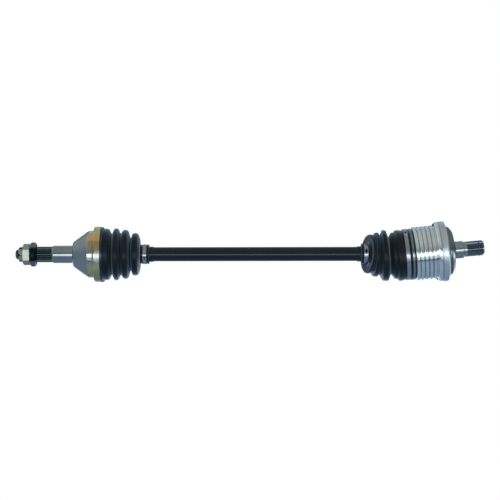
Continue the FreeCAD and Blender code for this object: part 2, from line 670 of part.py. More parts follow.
def inner_boot():
    """Bent bellows, so its small cuff, folds and large cuff are three pieces fused together."""
    bar_r = BAR_SEAT_R + BOOT_GAP
    seat_r = SEAT_R + BOOT_GAP
    flank_x = INNER_FOLDS[0][0] + BOOT_WALL
    small = tube(INNER_SMALL_CUFF_X, flank_x, INNER_SMALL_CUFF_R, bar_r)
    lip = tube(INNER_SMALL_CUFF_X, INNER_SMALL_CUFF_X + INNER_LIP_WIDTH, INNER_LIP_R, bar_r, 0.8)
    cuff_x = INNER_CENTRE_X + INNER_CUFF_START_S
    outer_rings = [ring_wire(x, r) for x, r in INNER_FOLDS]
    outer_rings.append(ring_wire(cuff_x, INNER_CUFF_R))
    inner_rings = [ring_wire(flank_x, FLANK_FOOT_R), ring_wire(flank_x + FLANK_LEAN, FLANK_TOP_R)]
    inner_rings += [ring_wire(x, r - BOOT_WALL) for x, r in INNER_FOLDS[2:]]
    inner_rings.append(ring_wire(cuff_x + 0.5, seat_r))
    folds = Part.makeLoft(outer_rings, True, True)
    folds = folds.cut(Part.makeLoft(inner_rings, True, True))
    edge_end = SEAT_END_S - 0.2
    cuff = tube(INNER_CUFF_START_S, edge_end, INNER_CUFF_R, seat_r, 0.4)
    edge = tube(INNER_EDGE_START_S, edge_end, INNER_EDGE_R, seat_r, 0.8)
    large = tilt_up(shift(cuff.fuse(edge), INNER_CENTRE_X), INNER_TILT_DEG)
    bar = rod(INNER_SMALL_CUFF_X - 5, INNER_CENTRE_X, bar_r)
    return small.fuse([lip, folds, large]).cut(bar).removeSplitter()


# ================================================================ clamps
def eared_clamp(inner_r, x_start, width, thickness, ear_angle_deg, ear_height):
    """Thin band with a pinched ear that stands out where it was crimped."""
    band = tube(x_start, x_start + width, inner_r + thickness, inner_r, 0.2)
    half = ear_height * 0.95
    foot = inner_r + thickness - 0.7
    leg = Part.makeBox(width, thickness, ear_height, V(x_start, -half, foot))
    other_leg = Part.makeBox(width, thickness, ear_height, V(x_start, half - thickness, foot))
    roof = Part.makeBox(width, 2 * half, thickness, V(x_start, -half, foot + ear_height - 0.8))
    ear = leg.fuse([other_leg, roof])
    return band.fuse(around_x(ear, ear_angle_deg)).removeSplitter()


def export_clamps():
    rim_r = OUTER_CUFF_R + BOOT_GAP
    rim_clamp = tube(BELL_RIM_END_X + 0.35, BELL_MOUTH_X - 0.35, rim_r + RIM_CLAMP_THICKNESS, rim_r, 0.3)
    export("outer_boot_clamp_large", rim_clamp)
    export("outer_boot_clamp_small", eared_clamp(OUTER_SMALL_CUFF_R + CLAMP_GAP, *OUTER_SMALL_CLAMP))
    export("inner_boot_clamp_small", eared_clamp(INNER_SMALL_CUFF_R + CLAMP_GAP, *INNER_SMALL_CLAMP))
    large = eared_clamp(INNER_CUFF_R + CLAMP_GAP, *INNER_LARGE_CLAMP)
    export("inner_boot_clamp_large", tilt_up(shift(large, INNER_CENTRE_X), INNER_TILT_DEG))


export("drive_shaft", drive_shaft())
export("outer_housing", outer_housing())
export("axle_nut", axle_nut())
export("axle_washer", axle_washer())
export_outer_joint()
export("outer_boot", outer_boot())
export("inner_housing", inner_housing())
export("inner_stop_ring", stop_ring())
export("gearbox_stub_clip", stub_clip())
export_inner_joint()
export("inner_boot", inner_boot())
export_clamps()
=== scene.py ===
"""CV axle: boots and clamps in their final shapes, finishes, camera, light and stage.

Names and comments say where a length is in millimetres. All other lengths are in metres.
"""
import json
import math

import bmesh
import bpy
from mathutils import Matrix, Vector


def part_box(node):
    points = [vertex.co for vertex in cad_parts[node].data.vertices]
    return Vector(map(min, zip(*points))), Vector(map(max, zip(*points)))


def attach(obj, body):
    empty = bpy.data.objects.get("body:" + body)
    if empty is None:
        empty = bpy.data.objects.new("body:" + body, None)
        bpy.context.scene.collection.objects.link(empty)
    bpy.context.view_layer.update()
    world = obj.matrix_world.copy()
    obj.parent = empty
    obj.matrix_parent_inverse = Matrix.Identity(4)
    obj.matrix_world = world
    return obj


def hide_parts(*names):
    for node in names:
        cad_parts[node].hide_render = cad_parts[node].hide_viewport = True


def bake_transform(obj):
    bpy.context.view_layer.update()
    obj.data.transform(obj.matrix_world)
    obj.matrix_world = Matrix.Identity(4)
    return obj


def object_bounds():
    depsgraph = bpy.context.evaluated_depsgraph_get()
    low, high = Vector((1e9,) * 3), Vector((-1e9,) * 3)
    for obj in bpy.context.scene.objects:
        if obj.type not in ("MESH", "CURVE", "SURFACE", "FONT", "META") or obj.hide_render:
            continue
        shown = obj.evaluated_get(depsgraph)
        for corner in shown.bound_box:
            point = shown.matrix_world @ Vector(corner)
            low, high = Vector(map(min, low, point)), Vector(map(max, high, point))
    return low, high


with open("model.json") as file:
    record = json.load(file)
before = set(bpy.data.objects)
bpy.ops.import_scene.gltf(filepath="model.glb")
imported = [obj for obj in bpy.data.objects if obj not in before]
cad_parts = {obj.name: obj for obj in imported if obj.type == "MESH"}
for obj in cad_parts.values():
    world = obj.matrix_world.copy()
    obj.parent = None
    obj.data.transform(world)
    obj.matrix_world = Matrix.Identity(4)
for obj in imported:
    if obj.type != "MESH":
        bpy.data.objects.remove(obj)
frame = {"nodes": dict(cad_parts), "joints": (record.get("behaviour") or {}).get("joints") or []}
CAD_LOW, CAD_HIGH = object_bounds()
MM = 0.001
FULL_TURN = 2 * math.pi


# ------------------------------------------------------------------ places read from the frame
def joint_of(name):
    return next(j for j in frame["joints"] if j["name"] == name)


def axis_tilt():
    """Angle that the gearbox joint is bent up at rest, from the direction of its plunge."""
    axis = joint_of("inner_plunge")["axis"]
    return math.atan2(axis[2], axis[0])


def ends_of(node):
    """Lowest and highest x of a node, in millimetres."""
    low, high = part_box(node)
    return low[0] / MM, high[0] / MM


def band_of(node):
    """Middle station and outer radius of a clamp that stands square on the bar, in millimetres."""
    low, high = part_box(node)
    return (low[0] + high[0]) / 2 / MM, -low[2] / MM


INNER_CENTRE = Vector(joint_of("inner_pitch_half")["pos_m"])
TILT = axis_tilt()
BAR_AXIS = Vector((1, 0, 0))
CUP_AXIS = Vector((math.cos(TILT), 0, math.sin(TILT)))
CUP_UP = Vector((-math.sin(TILT), 0, math.cos(TILT)))
OUTER_BOOT_START, OUTER_BOOT_END = ends_of("outer_boot")
INNER_BOOT_START = ends_of("inner_boot")[0]


# ------------------------------------------------------------------ outlines and turned meshes
OUTLINE_STEP_MM = 0.9
ARC_SHARE_OF_SIDE = 0.48


def rounded(points, step=OUTLINE_STEP_MM):
    """Dense outline through (x, r, corner radius) corners in millimetres, with arcs at corners."""
    corners = [Vector(p[:2]) for p in points]
    dense = []
    for i, here in enumerate(corners):
        radius = points[i][2] if len(points[i]) > 2 else 0.0
        if radius == 0.0 or i in (0, len(corners) - 1):
            dense.append(here)
            continue
        before = (corners[i - 1] - here).normalized()
        after = (corners[i + 1] - here).normalized()
        half = before.angle(after) / 2
        reach = radius / math.tan(half)
        sides = (corners[i - 1] - here).length, (corners[i + 1] - here).length
        limit = ARC_SHARE_OF_SIDE * min(sides)
        if reach > limit:
            radius *= limit / reach
            reach = limit
        centre = here + (before + after).normalized() * (radius / math.sin(half))
        start = here + before * reach - centre
        end = here + after * reach - centre
        sweep = start.angle_signed(end)
        count = max(2, int(abs(sweep) * radius / step * 2) + 2)
        for k in range(count + 1):
            spoke = start.copy()
            spoke.rotate(Matrix.Rotation(-sweep * k / count, 2))
            dense.append(centre + spoke)
    return subdivided(dense, step)


def subdivided(points, step):
    """The same outline with long straight runs cut into short steps."""
    out = [points[0]]
    for a, b in zip(points, points[1:]):
        count = max(1, int((b - a).length / step))
        out += [a.lerp(b, k / count) for k in range(1, count + 1)]
    return out


def inward(points, wall):
    """Outline moved by a wall's thickness towards the axis side of its own normal."""
    out = []
    for i, p in enumerate(points):
        before = points[max(i - 1, 0)]
        after = points[min(i + 1, len(points) - 1)]
        along = (after - before).normalized()
        out.append(p + Vector((along.y, -along.x)) * wall)
    return out


def add_object(name, data):
    obj = bpy.data.objects.new(name, data)
    bpy.context.scene.collection.objects.link(obj)
    return obj


def smooth_object(name, builder):
    """Object with smooth faces from a finished bmesh."""
    mesh = bpy.data.meshes.new(name)
    builder.to_mesh(mesh)
    builder.free()
    mesh.shade_smooth()
    return add_object(name, mesh)


def ring_mesh(name, loops, angles, place, closed=True):
    """Mesh of revolution: place(x, r, angle) puts each (x, r) of a loop at each angle."""
    builder = bmesh.new()
    rings = [[builder.verts.new(place(x, r, angle)) for angle in angles] for x, r in loops]
    pairs = list(zip(rings, rings[1:]))
    if closed:
        pairs.append((rings[-1], rings[0]))
    count = len(angles)
    for first, second in pairs:
        for k in range(count):
            following = (k + 1) % count
            builder.faces.new((first[k], second[k], second[following], first[following]))
    return smooth_object(name, builder)


def even_angles(count):
    return [FULL_TURN * k / count for k in range(count)]


def sharpen(obj, angle_deg):
    """Marks edges sharper than an angle, so that shading breaks there only."""
    obj.data.set_sharp_from_angle(angle=math.radians(angle_deg))


def ring_point(x, r, angle):
    """Point of a ring square to the x axis. The angle runs from straight up towards the camera."""
    return Vector((x, -r * math.sin(angle), r * math.cos(angle)))


def on_bar(x, r, angle):
    """Place of a point, in millimetres, of a ring square to the bar."""
    return ring_point(x, r, angle) * MM


def on_cup(s, r, angle):
    """Place of a point of a ring square to the cup, s millimetres from the joint's centre."""
    return INNER_CENTRE + Matrix.Rotation(-TILT, 3, "Y") @ (ring_point(s, r, angle) * MM)


# ------------------------------------------------------------------ material nodes
def nodes_of(name):
    """New material with a principled shader, as material, tree and shader."""
    material = bpy.data.materials.new(name)
    material.use_nodes = True
    tree = material.node_tree
    tree.nodes.clear()
    output = tree.nodes.new("ShaderNodeOutputMaterial")
    shader = tree.nodes.new("ShaderNodeBsdfPrincipled")
    tree.links.new(shader.outputs["BSDF"], output.inputs["Surface"])
    return material, tree, shader


def set_shader(shader, metallic=0.0, specular=0.5, coat=0.0, coat_rough=0.05, tint=(1, 1, 1)):
    shader.inputs["Metallic"].default_value = metallic
    shader.inputs["Specular IOR Level"].default_value = specular
    shader.inputs["Coat Weight"].default_value = coat
    shader.inputs["Coat Roughness"].default_value = coat_rough
    shader.inputs["Specular Tint"].default_value = (*tint, 1.0)


def feed(tree, socket, value):
    """Gives a socket its value, which is another socket, a colour or a number."""
    if isinstance(value, bpy.types.NodeSocket):
        tree.links.new(value, socket)
    elif isinstance(value, tuple):
        socket.default_value = (*value, 1.0)
    else:
        socket.default_value = value


def object_coords(tree):
    return tree.nodes.new("ShaderNodeTexCoord").outputs["Object"]


def component(tree, vector, axis):
    """One of a vector's components: "X", "Y" or "Z"."""
    split = tree.nodes.new("ShaderNodeSeparateXYZ")
    tree.links.new(vector, split.inputs["Vector"])
    return split.outputs[axis]


def calculated(tree, operation, *values):
    """Result of a maths node, whose inputs are sockets or numbers."""
    node = tree.nodes.new("ShaderNodeMath")
    node.operation = operation
    for socket, value in zip(node.inputs, values):
        feed(tree, socket, value)
    return node.outputs["Value"]


def noise(tree, vector, scale, detail=3.0, rough=0.55):
    node = tree.nodes.new("ShaderNodeTexNoise")
    node.inputs["Scale"].default_value = scale
    node.inputs["Detail"].default_value = detail
    node.inputs["Roughness"].default_value = rough
    tree.links.new(vector, node.inputs["Vector"])
    return node.outputs["Fac"]


def ramp(tree, value, stops):
    """Colour ramp from (position, colour) stops, where a colour may be one grey number."""
    node = tree.nodes.new("ShaderNodeValToRGB")
    while len(node.color_ramp.elements) < len(stops):
        node.color_ramp.elements.new(0.5)
    for element, (position, colour) in zip(node.color_ramp.elements, stops):
        element.position = position
        rgb = (colour, colour, colour) if isinstance(colour, float) else colour
        element.color = (*rgb, 1.0)
    tree.links.new(value, node.inputs["Fac"])
    return node.outputs["Color"]


def mixed(tree, factor, a, b, blend="MIX"):
    """Mix of two colours, where factor, a and b are sockets or values."""
    node = tree.nodes.new("ShaderNodeMix")
    node.data_type = "RGBA"
    node.blend_type = blend
    # A mix node has a set of inputs and an output for each type: 6, 7 and 2 are those of colours.
    for index, value in ((0, factor), (6, a), (7, b)):
        feed(tree, node.inputs[index], value)
    return node.outputs[2]


def product(tree, a, b):
    return mixed(tree, 1.0, a, b, "MULTIPLY")


def remap(tree, value, low, high):
    """The value on a scale from 0 at low to 1 at high, and no further."""
    node = tree.nodes.new("ShaderNodeMapRange")
    node.inputs["From Min"].default_value = low
    node.inputs["From Max"].default_value = high
    tree.links.new(value, node.inputs["Value"])
    return node.outputs["Result"]


def bump(tree, height, distance, strength):
    node = tree.nodes.new("ShaderNodeBump")
    node.inputs["Distance"].default_value = distance
    node.inputs["Strength"].default_value = strength
    tree.links.new(height, node.inputs["Height"])
    return node.outputs["Normal"]


def station(tree, axis, origin):
    """Distance of the shaded point from an origin, along an axis."""
    shift = tree.nodes.new("ShaderNodeVectorMath")
    shift.operation = "SUBTRACT"
    shift.inputs[1].default_value = origin
    tree.links.new(object_coords(tree), shift.inputs[0])
    dot = tree.nodes.new("ShaderNodeVectorMath")
    dot.operation = "DOT_PRODUCT"
    dot.inputs[1].default_value = axis
    tree.links.new(shift.outputs["Vector"], dot.inputs[0])
    return dot.outputs["Value"]


def spread(span, zones):
    """Ramp stops, from 0 to 1 over a span, of zones given as (start, end, value)."""
    low, high = span
    stops = []
    for start, end, value in zones:
        stops += [((start - low) / (high - low), value), ((end - low) / (high - low), value)]
    return stops


# ------------------------------------------------------------------ plain finishes
def black_paint():
    """Gloss enamel over bar steel, with a slight orange peel."""
    material, tree, shader = nodes_of("gloss_black_enamel")
    set_shader(shader, specular=0.30, coat=0.15, coat_rough=0.08, tint=(0.62, 0.82, 1.0))
    vector = object_coords(tree)
    thin, thick = (0.0045, 0.0060, 0.0100), (0.0075, 0.0095, 0.0155)
    colour = ramp(tree, noise(tree, vector, scale=18.0), [(0.3, thin), (0.7, thick)])
    tree.links.new(colour, shader.inputs["Base Color"])
    peel = noise(tree, vector, scale=420.0, detail=2.0, rough=0.5)
    tree.links.new(ramp(tree, peel, [(0.3, 0.10), (0.7, 0.16)]), shader.inputs["Roughness"])
    tree.links.new(bump(tree, peel, distance=0.02 * MM, strength=0.35), shader.inputs["Normal"])
    return material


# Heights from the axis, in millimetres, where the washer's painted sheen starts and where it is
# full.
WASHER_DARK_TO_MM = 9.5
WASHER_SHEEN_FROM_MM = 13.0


def black_oxide():
    """Oiled black finish, with a painted violet-grey sheen at the washer's top and bottom."""
    material, tree, shader = nodes_of("black_oxide")
    set_shader(shader, metallic=1.0)
    vector = object_coords(tree)
    height = calculated(tree, "ABSOLUTE", component(tree, vector, "Z"))
    # Painted sheen: the washer's colour turns violet grey where it faces up or down.
    painted_sheen = remap(tree, height, WASHER_DARK_TO_MM * MM, WASHER_SHEEN_FROM_MM * MM)
    clouds = noise(tree, vector, scale=90.0, detail=4.0, rough=0.6)
    oiled, violet, grey = (0.010, 0.013, 0.015), (0.205, 0.170, 0.290), (0.160, 0.165, 0.190)
    sheen_lobes = ramp(tree, clouds, [(0.40, grey), (0.60, violet)])
    tree.links.new(mixed(tree, painted_sheen, oiled, sheen_lobes), shader.inputs["Base Color"])
    tree.links.new(ramp(tree, clouds, [(0.3, 0.30), (0.7, 0.42)]), shader.inputs["Roughness"])
    grain = noise(tree, vector, scale=700.0)
    tree.links.new(bump(tree, grain, distance=0.01 * MM, strength=0.5), shader.inputs["Normal"])
    return material


def boot_rubber():
    """Moulded rubber: near black, satin, with a fine grain and a dusty bloom."""
    material, tree, shader = nodes_of("boot_rubber")
    set_shader(shader, specular=0.22, tint=(0.70, 0.86, 1.0))
    shader.inputs["Sheen Weight"].default_value = 0.85
    shader.inputs["Sheen Roughness"].default_value = 0.34
    shader.inputs["Sheen Tint"].default_value = (0.55, 0.76, 1.0, 1.0)
    vector = object_coords(tree)
    bloom = noise(tree, vector, scale=38.0, detail=5.0, rough=0.62)
    clean, dusty = (0.0030, 0.0042, 0.0052), (0.0065, 0.0085, 0.0105)
    tree.links.new(ramp(tree, bloom, [(0.35, clean), (0.72, dusty)]), shader.inputs["Base Color"])
    tree.links.new(ramp(tree, bloom, [(0.3, 0.30), (0.75, 0.40)]), shader.inputs["Roughness"])
    grain = noise(tree, vector, scale=1500.0, detail=3.0, rough=0.6)
    tree.links.new(bump(tree, grain, distance=0.03 * MM, strength=0.5), shader.inputs["Normal"])
    return material


def plain_metal(name, colour, dark, rough, grain_scale=240.0, bump_mm=0.01):
    """Rolled or plated metal with cloudy colour and uneven polish."""
    material, tree, shader = nodes_of(name)
    set_shader(shader, metallic=1.0)
    vector = object_coords(tree)
    clouds = noise(tree, vector, scale=70.0, detail=4.0, rough=0.6)
    tree.links.new(ramp(tree, clouds, [(0.32, dark), (0.68, colour)]), shader.inputs["Base Color"])
    grain = noise(tree, vector, grain_scale, detail=4.0, rough=0.6)
    polish = ramp(tree, grain, [(0.3, rough[0]), (0.7, rough[1])])
    tree.links.new(polish, shader.inputs["Roughness"])
    tree.links.new(bump(tree, grain, bump_mm * MM, strength=0.5), shader.inputs["Normal"])
    return material


def emission_for_camera(name, colour, strength):
    material = bpy.data.materials.new(name)
    material.use_nodes = True
    tree = material.node_tree
    tree.nodes.clear()
    output = tree.nodes.new("ShaderNodeOutputMaterial")
    emission = tree.nodes.new("ShaderNodeEmission")
    emission.inputs["Color"].default_value = (*colour, 1.0)
    emission.inputs["Strength"].default_value = strength
    tree.links.new(emission.outputs["Emission"], output.inputs["Surface"])
    return material


# ------------------------------------------------------------------ the two forgings
def lathe_marks(tree, along):
    """Fine rings that a turning tool leaves, as a height."""
    combine = tree.nodes.new("ShaderNodeCombineXYZ")
    tree.links.new(along, combine.inputs["X"])
    return noise(tree, combine.outputs["Vector"], scale=2600.0, detail=2.0, rough=0.6)


def turned_steel(name, colours, polish, span, axis, origin, tint):
    """Machined steel whose colour and polish change along its axis, with rings and stains."""
    material, tree, shader = nodes_of(name)
    set_shader(shader, metallic=1.0)
    along = station(tree, axis, origin)
    place = remap(tree, along, span[0] * MM, span[1] * MM)
    base = tint(tree, along, ramp(tree, place, colours))
    stains = noise(tree, object_coords(tree), scale=55.0, detail=4.0, rough=0.6)
    stained = ramp(tree, stains, [(0.42, 0.0), (0.80, 0.30)])
    dulled = mixed(tree, stained, base, (0.45, 0.44, 0.42), "MULTIPLY")
    tree.links.new(dulled, shader.inputs["Base Color"])
    blotches = noise(tree, object_coords(tree), scale=160.0, detail=3.0, rough=0.6)
    uneven = ramp(tree, blotches, [(0.3, 0.80), (0.75, 1.0)])
    tree.links.new(product(tree, ramp(tree, place, polish), uneven), shader.inputs["Roughness"])
    rings = lathe_marks(tree, along)
    tree.links.new(bump(tree, rings, distance=0.002 * MM, strength=0.3), shader.inputs["Normal"])
    return material


PLATING_WAVER_MM = 26
PLATING_HEIGHTS_MM = (-45, 60)
PLATING_EDGE_MM = (-272.5, -268.5)


def plating(tree, along, base):
    """Yellow plating on the bell's rim: olive, with an orange bloom along its upper flank and a
    painted pale highlight in a band around mid height.
    """
    waver = noise(tree, object_coords(tree), scale=42.0, detail=4.0, rough=0.6)
    z = component(tree, object_coords(tree), "Z")
    height = calculated(tree, "MULTIPLY_ADD", waver, PLATING_WAVER_MM * MM, z)
    # The pale band is a painted highlight, where the front lights reflect off the rim.
    pale, orange, brown, olive = (
        (0.42, 0.44, 0.42),
        (0.72, 0.47, 0.22),
        (0.42, 0.33, 0.18),
        (0.55, 0.60, 0.33),
    )
    colour = ramp(
        tree,
        remap(tree, height, *(z_mm * MM for z_mm in PLATING_HEIGHTS_MM)),
        [
            (0.0, (0.34, 0.35, 0.20)),
            (0.24, (0.39, 0.39, 0.22)),
            (0.36, (0.60, 0.54, 0.28)),
            (0.47, pale),
            (0.57, pale),
            (0.61, brown),
            (0.72, brown),
            (0.76, orange),
            (0.84, orange),
            (0.89, olive),
            (1.0, olive),
        ],
    )
    plated = remap(tree, along, *(x * MM for x in PLATING_EDGE_MM))
    return mixed(tree, plated, base, colour)


def bell_steel():
    """Wheel-end forging: dark oiled spline, ground journal, grey cone and a yellow plated rim with
    a painted highlight.
    """
    # Stations are in millimetres along the bar.
    span = (-392.0, -245.0)
    oiled, ground = (0.050, 0.078, 0.086), (0.30, 0.345, 0.365)
    colours = spread(
        span, [(-392.0, -331.0, oiled), (-328.4, -297.0, ground), (-295.6, -245.0, ground)]
    )
    polish = spread(
        span,
        [
            (-392.0, -331.0, 0.34),
            (-328.4, -297.0, 0.15),
            (-295.0, -276.0, 0.36),
            (-271.0, -258.0, 0.15),
            (-257.0, -245.0, 0.32),
        ],
    )
    return turned_steel("bell_steel", colours, polish, span, BAR_AXIS, (0, 0, 0), plating)


# Stations on the cup are in millimetres along its axis, from the gearbox joint's centre.
RIB_PITCH_MM = 6.9
FIRST_RIB_MM = -1.4
RIB_ZONE_MM = (-4.9, 29.6)
DARK_REFLECTION_ZONE_MM = (-4.9, 36)
DARK_REFLECTION_HEIGHT_MM = -10.9
DARK_REFLECTION_REACH_MM = 2.4
DARK_REFLECTION_FRONT_MM = (-5, -15)


def painted_dark_reflection(tree, along, base):
    """Painted dark reflection: a thin dark line along the near side of the cup, just under its
    highlight.
    """
    low, high = ((DARK_REFLECTION_HEIGHT_MM + side * DARK_REFLECTION_REACH_MM) * MM for side in (-1, 1))
    line = ramp(
        tree,
        remap(tree, station(tree, CUP_UP, INNER_CENTRE), low, high),
        [(0.22, 0.0), (0.42, 0.8), (0.58, 0.8), (0.78, 0.0)],
    )
    y = component(tree, object_coords(tree), "Y")
    near = remap(tree, y, *(y_mm * MM for y_mm in DARK_REFLECTION_FRONT_MM))
    zone = ramp(
        tree,
        remap(tree, along, *(s * MM for s in DARK_REFLECTION_ZONE_MM)),
        [(0.0, 0.0), (0.02, 1.0), (0.95, 1.0), (1.0, 0.0)],
    )
    # The painted dark reflection shows on the side towards the camera only.
    shown = product(tree, product(tree, line, near), zone)
    return mixed(tree, shown, base, (0.17, 0.19, 0.21))


def rib_valley_shade(tree, along, base):
    """Painted shade in each valley between the cup's ribs, with the painted dark reflection line
    over it.
    """
    turns_per_metre = 1 / (RIB_PITCH_MM * MM)
    first = FIRST_RIB_MM / RIB_PITCH_MM
    phase = calculated(
        tree, "MULTIPLY_ADD", along, FULL_TURN * turns_per_metre, -FULL_TURN * first
    )
    wave = remap(tree, calculated(tree, "COSINE", phase), -1.0, 1.0)
    painted_valley_shade = ramp(tree, wave, [(0.0, 0.85), (0.08, 0.60), (0.28, 0.0)])
    ribbed = ramp(
        tree,
        remap(tree, along, *(s * MM for s in RIB_ZONE_MM)),
        [(0.0, 0.0), (0.02, 1.0), (0.98, 1.0), (1.0, 0.0)],
    )
    # Painted shade: the valleys are mixed towards a darker blue grey.
    valley_shaded = mixed(tree, product(tree, painted_valley_shade, ribbed), base, (0.40, 0.45, 0.50))
    return painted_dark_reflection(tree, along, valley_shaded)


def cup_steel():
    """Gearbox-end forging: bright ribs and collar, dull end cap, ground journal, dark spline, with
    painted shade in its grooves and rib valleys and a painted dark reflection line.
    """
    span = (-24.0, 112.0)
    # The near-black groove before the ribs and the darker step before the collar are painted shade
    # in those grooves.
    lip, painted_groove_shade, bright, step, collar, cap, ground, oiled = (
        (0.24, 0.28, 0.29),
        (0.05, 0.055, 0.065),
        (0.74, 0.78, 0.78),
        (0.44, 0.49, 0.52),
        (0.56, 0.62, 0.66),
        (0.155, 0.165, 0.170),
        (0.32, 0.37, 0.39),
        (0.13, 0.16, 0.20),
    )
    colours = spread(
        span,
        [
            (-24.0, -6.8, lip),
            (-6.4, -4.9, painted_groove_shade),
            (-4.5, 36.8, bright),
            (37.3, 38.7, step),
            (39.1, 49.6, collar),
            (51.0, 61.6, cap),
            (62.8, 81.4, ground),
            (82.6, 112.0, oiled),
        ],
    )
    polish = spread(
        span,
        [
            (-24.0, -6.8, 0.22),
            (-4.5, 36.0, 0.14),
            (39.0, 49.0, 0.40),
            (51.0, 61.6, 0.26),
            (63.0, 81.4, 0.16),
        ],
    )
    return turned_steel("cup_steel", colours, polish, span, CUP_AXIS, INNER_CENTRE, rib_valley_shade)


# ------------------------------------------------------------------ boots
BOOT_WALL_MM = 1.3
SEAM_HEIGHT_MM = 0.28
SEAM_WIDTH = 0.011
SEAM_SIDES = (math.radians(12), math.radians(192))
SEAM_POINTS = (-2, -1, 0, 1, 2)
BOOT_SIDES = 150
SMALL_TURN = 0.004


def boot_angles():
    """Even angles round a boot, with extra ones where the two halves of its mould met."""
    extra = [side + offset * SEAM_WIDTH for side in SEAM_SIDES for offset in SEAM_POINTS]
    return sorted(even_angles(BOOT_SIDES) + extra)


def with_seam(place):
    """The same placing, with the fine ridge that the mould's two halves leave along the boot."""

    def seamed(x, r, angle):
        nearest = min(abs(angle - side) for side in SEAM_SIDES)
        ridge = SEAM_HEIGHT_MM * math.exp(-((nearest / SEAM_WIDTH) ** 2))
        return place(x, r + ridge, angle)

    return seamed


def shell_section(name, outline, x_start, x_end, place):
    """Closed piece of a boot's wall between two stations, shaded as part of the whole boot."""
    angles = boot_angles()
    inner_line = inward(outline, BOOT_WALL_MM)
    first, last = (
        min(range(len(outline)), key=lambda i: abs(outline[i].x - x)) for x in (x_start, x_end)
    )
    chosen = range(first, last + 1)
    outer_loop = [tuple(outline[i]) for i in chosen]
    inner_loop = [tuple(inner_line[i]) for i in reversed(chosen)]
    section = ring_mesh(name, outer_loop + inner_loop, angles, place)

    def outward(i, k):
        here, angle = outline[i], angles[k]
        before, after = outline[max(i - 1, 0)], outline[min(i + 1, len(outline) - 1)]
        along = place(after.x, after.y, angle) - place(before.x, before.y, angle)
        ahead, behind = (place(here.x, here.y, angle + s * SMALL_TURN) for s in (1, -1))
        return along.cross(ahead - behind).normalized()

    length, count = len(chosen), len(angles)
    normals = {(i, k): outward(i, k) for i in chosen for k in range(count)}
    mesh = section.data
    end_bands = (length - 1, 2 * length - 1)
    split = []
    for polygon in mesh.polygons:
        band = polygon.index // count
        for loop in polygon.loop_indices:
            row, k = divmod(mesh.loops[loop].vertex_index, count)
            if band in end_bands:
                split.append(polygon.normal.copy())
            elif row < length:
                split.append(normals[first + row, k])
            else:
                split.append(-normals[first + 2 * length - 1 - row, k])
    mesh.normals_split_custom_set(split)
    return section


def dress(piece, material):
    piece.data.materials.clear()
    piece.data.materials.append(material)


# Boot outlines, from the cuff's end, are (distance, r, corner radius) in millimetres.
OUTER_BOOT_CORNERS = [
    (0.0, 41.0),
    (0.0, 43.5, 0.5),
    (3.4, 43.5, 0.5),
    (4.4, 41.8, 0.8),
    (12.3, 41.9, 4.4),
    (16.9, 32.0, 0.9),
    (21.4, 42.4, 4.0),
    (27.2, 42.4, 4.4),
    (31.3, 32.9, 0.9),
    (36.0, 39.9, 4.0),
    (43.2, 39.9, 4.8),
    (47.6, 24.6, 1.0),
    (51.0, 34.6, 3.6),
    (59.1, 34.6, 4.4),
    (62.5, 26.2, 4.0),
    (63.4, 15.4, 1.2),
    (74.9, 15.4, 0.3),
    (75.5, 15.9, 0.5),
    (77.6, 15.9, 0.6),
    (77.8, 12.2),
]
OUTER_CUTS_MM = [0.0, 18.6, 32.2, 45.8, OUTER_BOOT_END - OUTER_BOOT_START]
OUTER_BENDS_MM = [(4.6, 18.6), (18.6, 32.2), (32.2, 45.8), (45.8, 62.2)]
INNER_BOOT_CORNERS = [
    (0.0, 12.2),
    (0.1, 16.9, 0.9),
    (3.1, 16.9, 0.8),
    (3.8, 15.6, 0.3),
    (11.6, 15.6, 1.0),
    (9.8, 31.9, 3.4),
    (14.9, 31.9, 2.6),
    (17.6, 28.8, 0.8),
    (21.4, 36.0, 2.8),
    (27.0, 36.0, 2.8),
    (29.8, 31.6, 0.9),
    (34.9, 41.5, 2.8),
    (42.0, 41.5, 2.8),
    (46.6, 29.6, 1.0),
    (51.7, 37.7, 2.0),
    (56.0, 38.0, 1.4),
    (58.8, 41.5, 2.6),
    (63.8, 41.4, 2.4),
    (67.8, 40.2, 0.8),
]
INNER_CUTS_MM = [13.4, 23.2, 29.8, 37.6, 46.6, 67.8]
# Plain length before and after the bend of each piece between two of those cuts.
INNER_MARGINS_MM = [(0.2, 0.8), (0.8, 0.8), (0.8, 0.8), (0.8, 0.8), (2.6, 1.0)]
# The cup's own cuff, as (s, r, corner radius) on the cup.
CUP_CUFF_CORNERS = [
    (-23.4, 38.2),
    (-23.4, 40.2, 0.6),
    (-13.6, 40.3, 0.4),
    (-13.1, 41.5, 0.7),
    (-10.5, 41.5, 0.9),
    (-10.4, 38.2),
]
CUP_CUFF_STEP_MM = 0.5
CUP_CUFF_SHARP_DEG = 50


def build_outer_boot(rubber):
    """One seamless bellows in four lengths, one for each of the joint's four hinges."""
    corners = [(OUTER_BOOT_START + corner[0], *corner[1:]) for corner in OUTER_BOOT_CORNERS]
    outline = rounded(corners)
    place = with_seam(on_bar)
    for index, bend in enumerate(OUTER_BENDS_MM):
        low, high = (OUTER_BOOT_START + cut for cut in OUTER_CUTS_MM[index : index + 2])
        section = shell_section(f"outer_boot_fold_{index + 1}", outline, low, high, place)
        dress(section, rubber)
        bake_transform(section)
        if index == 0:
            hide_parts("outer_boot")


def blend_share(x, start, end):
    """Smooth step from 0 at start to 1 at end."""
    t = min(max((x - start) / (end - start), 0.0), 1.0)
    return t * t * (3 - 2 * t)


FOLD_PITCH = math.radians(4.6)
FOLD_YAW = math.radians(18.0)
SAG_ZONE_MM = (9.2, 63.2)
PITCH_ZONE_MM = (11.2, 55.2)
YAW_ZONE_MM = (6.2, 31.2)
LEAN_ZONE_R_MM = (15.8, 22.5)


